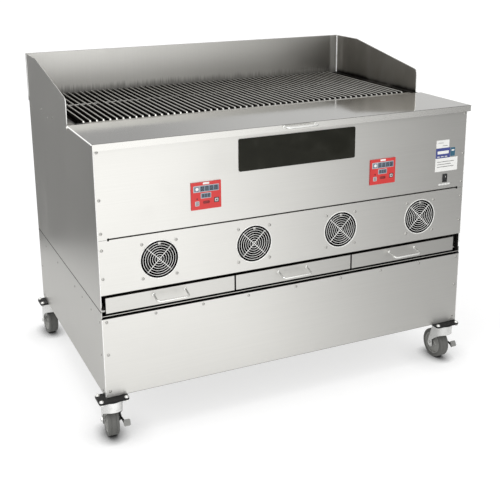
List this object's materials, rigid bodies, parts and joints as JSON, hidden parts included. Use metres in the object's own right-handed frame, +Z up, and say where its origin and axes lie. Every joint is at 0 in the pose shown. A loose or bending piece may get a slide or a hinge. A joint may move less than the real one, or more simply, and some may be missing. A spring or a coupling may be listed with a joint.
{
  "type": "charbroiler grill",
  "caption": "Wide stainless charbroiler on a wheeled cart, with cast grates behind splash walls, a front fuel hopper under a hinged lid, fan intakes and low ash drawers.",
  "frame": {"origin": "centre of the whole part's footprint box, on the floor under the caster wheels", "axes": "+Z up, +Y towards the backsplash, +X to the right as seen by the cook standing at the front (-Y) side"},
  "size_m": [1.3036, 0.93, 1.0625],
  "materials": {
    "stainless": "brushed",
    "cast_iron": "seasoned, rough",
    "black_steel": "black, semi-gloss",
    "zinc": "bright zinc plate",
    "wheel_rubber": "matt grey",
    "black_plastic": "satin",
    "red_plastic": "satin overlay",
    "sooted_steel": "heat-stained and sooty"
  },
  "bodies": {
    "body": {"cart_left_side": "stainless", "cart_right_side": "stainless", "cart_front_panel": "stainless", "cart_back_panel": "stainless", "cart_base": "stainless", "cart_deck": "stainless", "body_left_side": "stainless", "body_right_side": "stainless", "control_panel": "stainless", "fan_panel": "stainless", "back_panel": "stainless", "hopper": "stainless", "firebox": "sooted_steel", "grate_frame": "sooted_steel", "fan_carrier": "black_steel", "controller_left": "red_plastic", "controller_right": "red_plastic", "power_switch_body": "black_plastic", "name_plate": "black_plastic", "fan_guard_1": "zinc", "fan_guard_2": "zinc", "fan_guard_3": "zinc", "fan_guard_4": "zinc", "caster_plate_front_left": "black_steel", "caster_plate_front_right": "black_steel", "caster_plate_rear_left": "black_steel", "caster_plate_rear_right": "black_steel"},
    "caster_front_left": {"caster_fork_front_left": "zinc"},
    "wheel_front_left": {"caster_wheel_front_left": "wheel_rubber"},
    "brake_front_left": {"brake_pedal_front_left": "black_steel"},
    "caster_front_right": {"caster_fork_front_right": "zinc"},
    "wheel_front_right": {"caster_wheel_front_right": "wheel_rubber"},
    "brake_front_right": {"brake_pedal_front_right": "black_steel"},
    "caster_rear_left": {"caster_fork_rear_left": "zinc"},
    "wheel_rear_left": {"caster_wheel_rear_left": "wheel_rubber"},
    "caster_rear_right": {"caster_fork_rear_right": "zinc"},
    "wheel_rear_right": {"caster_wheel_rear_right": "wheel_rubber"},
    "lid": {"lid": "stainless", "lid_handle": "zinc"},
    "drawer_left": {"drawer_left": "stainless", "drawer_handle_left": "zinc"},
    "drawer_middle": {"drawer_middle": "stainless", "drawer_handle_middle": "zinc"},
    "drawer_right": {"drawer_right": "stainless", "drawer_handle_right": "zinc"},
    "fan_1": {"fan_rotor_1": "black_plastic"},
    "fan_2": {"fan_rotor_2": "black_plastic"},
    "fan_3": {"fan_rotor_3": "black_plastic"},
    "fan_4": {"fan_rotor_4": "black_plastic"},
    "auger_left": {"auger_left": "sooted_steel"},
    "auger_right": {"auger_right": "sooted_steel"},
    "rocker": {"power_rocker": "black_plastic"},
    "grate_1": {"grate_1": "cast_iron"},
    "grate_2": {"grate_2": "cast_iron"},
    "grate_3": {"grate_3": "cast_iron"},
    "grate_4": {"grate_4": "cast_iron"},
    "grate_5": {"grate_5": "cast_iron"},
    "grate_6": {"grate_6": "cast_iron"},
    "grate_7": {"grate_7": "cast_iron"},
    "grate_8": {"grate_8": "cast_iron"}
  },
  "joints": [
    {"name": "swivel_front_left", "type": "hinge", "parent": "body", "child": "caster_front_left", "pos_m": [-0.60575, -0.42342, 0.142], "axis": [0, 0, 1], "continuous": true},
    {"name": "roll_front_left", "type": "hinge", "parent": "caster_front_left", "child": "wheel_front_left", "pos_m": [-0.6027, -0.38855, 0.0508], "axis": [0.9962, -0.0872, 0], "continuous": true},
    {"name": "brake_front_left", "type": "hinge", "parent": "caster_front_left", "child": "brake_front_left", "pos_m": [-0.6027, -0.38855, 0.0508], "axis": [-0.9962, 0.0872, 0], "range_deg": [0, 25]},
    {"name": "swivel_front_right", "type": "hinge", "parent": "body", "child": "caster_front_right", "pos_m": [0.59725, -0.42342, 0.142], "axis": [0, 0, 1], "continuous": true},
    {"name": "roll_front_right", "type": "hinge", "parent": "caster_front_right", "child": "wheel_front_right", "pos_m": [0.59603, -0.38844, 0.0508], "axis": [0.9994, 0.0349, 0], "continuous": true},
    {"name": "brake_front_right", "type": "hinge", "parent": "caster_front_right", "child": "brake_front_right", "pos_m": [0.59603, -0.38844, 0.0508], "axis": [-0.9994, -0.0349, 0], "range_deg": [0, 25]},
    {"name": "swivel_rear_left", "type": "hinge", "parent": "body", "child": "caster_rear_left", "pos_m": [-0.60575, 0.37858, 0.142], "axis": [0, 0, 1], "continuous": true},
    {"name": "roll_rear_left", "type": "hinge", "parent": "caster_rear_left", "child": "wheel_rear_left", "pos_m": [-0.60758, 0.41353, 0.0508], "axis": [0.9986, 0.0523, 0], "continuous": true},
    {"name": "swivel_rear_right", "type": "hinge", "parent": "body", "child": "caster_rear_right", "pos_m": [0.59725, 0.37858, 0.142], "axis": [0, 0, 1], "continuous": true},
    {"name": "roll_rear_right", "type": "hinge", "parent": "caster_rear_right", "child": "wheel_rear_right", "pos_m": [0.59847, 0.41356, 0.0508], "axis": [0.9994, -0.0349, 0], "continuous": true},
    {"name": "lid_hinge", "type": "hinge", "parent": "body", "child": "lid", "pos_m": [0.01025, -0.15142, 0.904], "axis": [-1, 0, 0], "range_deg": [0, 92]},
    {"name": "drawer_left_slide", "type": "slide", "parent": "body", "child": "drawer_left", "axis": [0, -1, 0], "range_m": [0, 0.45]},
    {"name": "drawer_middle_slide", "type": "slide", "parent": "body", "child": "drawer_middle", "axis": [0, -1, 0], "range_m": [0, 0.45]},
    {"name": "drawer_right_slide", "type": "slide", "parent": "body", "child": "drawer_right", "axis": [0, -1, 0], "range_m": [0, 0.45]},
    {"name": "fan_1_spin", "type": "hinge", "parent": "body", "child": "fan_1", "pos_m": [-0.44375, -0.40242, 0.55], "axis": [0, 1, 0], "continuous": true},
    {"name": "fan_2_spin", "type": "hinge", "parent": "body", "child": "fan_2", "pos_m": [-0.13875, -0.40242, 0.55], "axis": [0, 1, 0], "continuous": true},
    {"name": "fan_3_spin", "type": "hinge", "parent": "body", "child": "fan_3", "pos_m": [0.16625, -0.40242, 0.55], "axis": [0, 1, 0], "continuous": true},
    {"name": "fan_4_spin", "type": "hinge", "parent": "body", "child": "fan_4", "pos_m": [0.47125, -0.40242, 0.55], "axis": [0, 1, 0], "continuous": true},
    {"name": "auger_left_spin", "type": "hinge", "parent": "body", "child": "auger_left", "pos_m": [-0.29475, -0.12242, 0.57], "axis": [0, 1, 0], "continuous": true},
    {"name": "auger_right_spin", "type": "hinge", "parent": "body", "child": "auger_right", "pos_m": [0.31525, -0.12242, 0.57], "axis": [0, 1, 0], "continuous": true},
    {"name": "rocker_tilt", "type": "hinge", "parent": "body", "child": "rocker", "pos_m": [0.56675, -0.42642, 0.672], "axis": [1, 0, 0], "range_deg": [0, 14]},
    {"name": "grate_1_lift", "type": "slide", "parent": "body", "child": "grate_1", "axis": [0, 0, 1], "range_m": [0, 0.25]},
    {"name": "grate_2_lift", "type": "slide", "parent": "body", "child": "grate_2", "axis": [0, 0, 1], "range_m": [0, 0.25]},
    {"name": "grate_3_lift", "type": "slide", "parent": "body", "child": "grate_3", "axis": [0, 0, 1], "range_m": [0, 0.25]},
    {"name": "grate_4_lift", "type": "slide", "parent": "body", "child": "grate_4", "axis": [0, 0, 1], "range_m": [0, 0.25]},
    {"name": "grate_5_lift", "type": "slide", "parent": "body", "child": "grate_5", "axis": [0, 0, 1], "range_m": [0, 0.25]},
    {"name": "grate_6_lift", "type": "slide", "parent": "body", "child": "grate_6", "axis": [0, 0, 1], "range_m": [0, 0.25]},
    {"name": "grate_7_lift", "type": "slide", "parent": "body", "child": "grate_7", "axis": [0, 0, 1], "range_m": [0, 0.25]},
    {"name": "grate_8_lift", "type": "slide", "parent": "body", "child": "grate_8", "axis": [0, 0, 1], "range_m": [0, 0.25]}
  ]
}
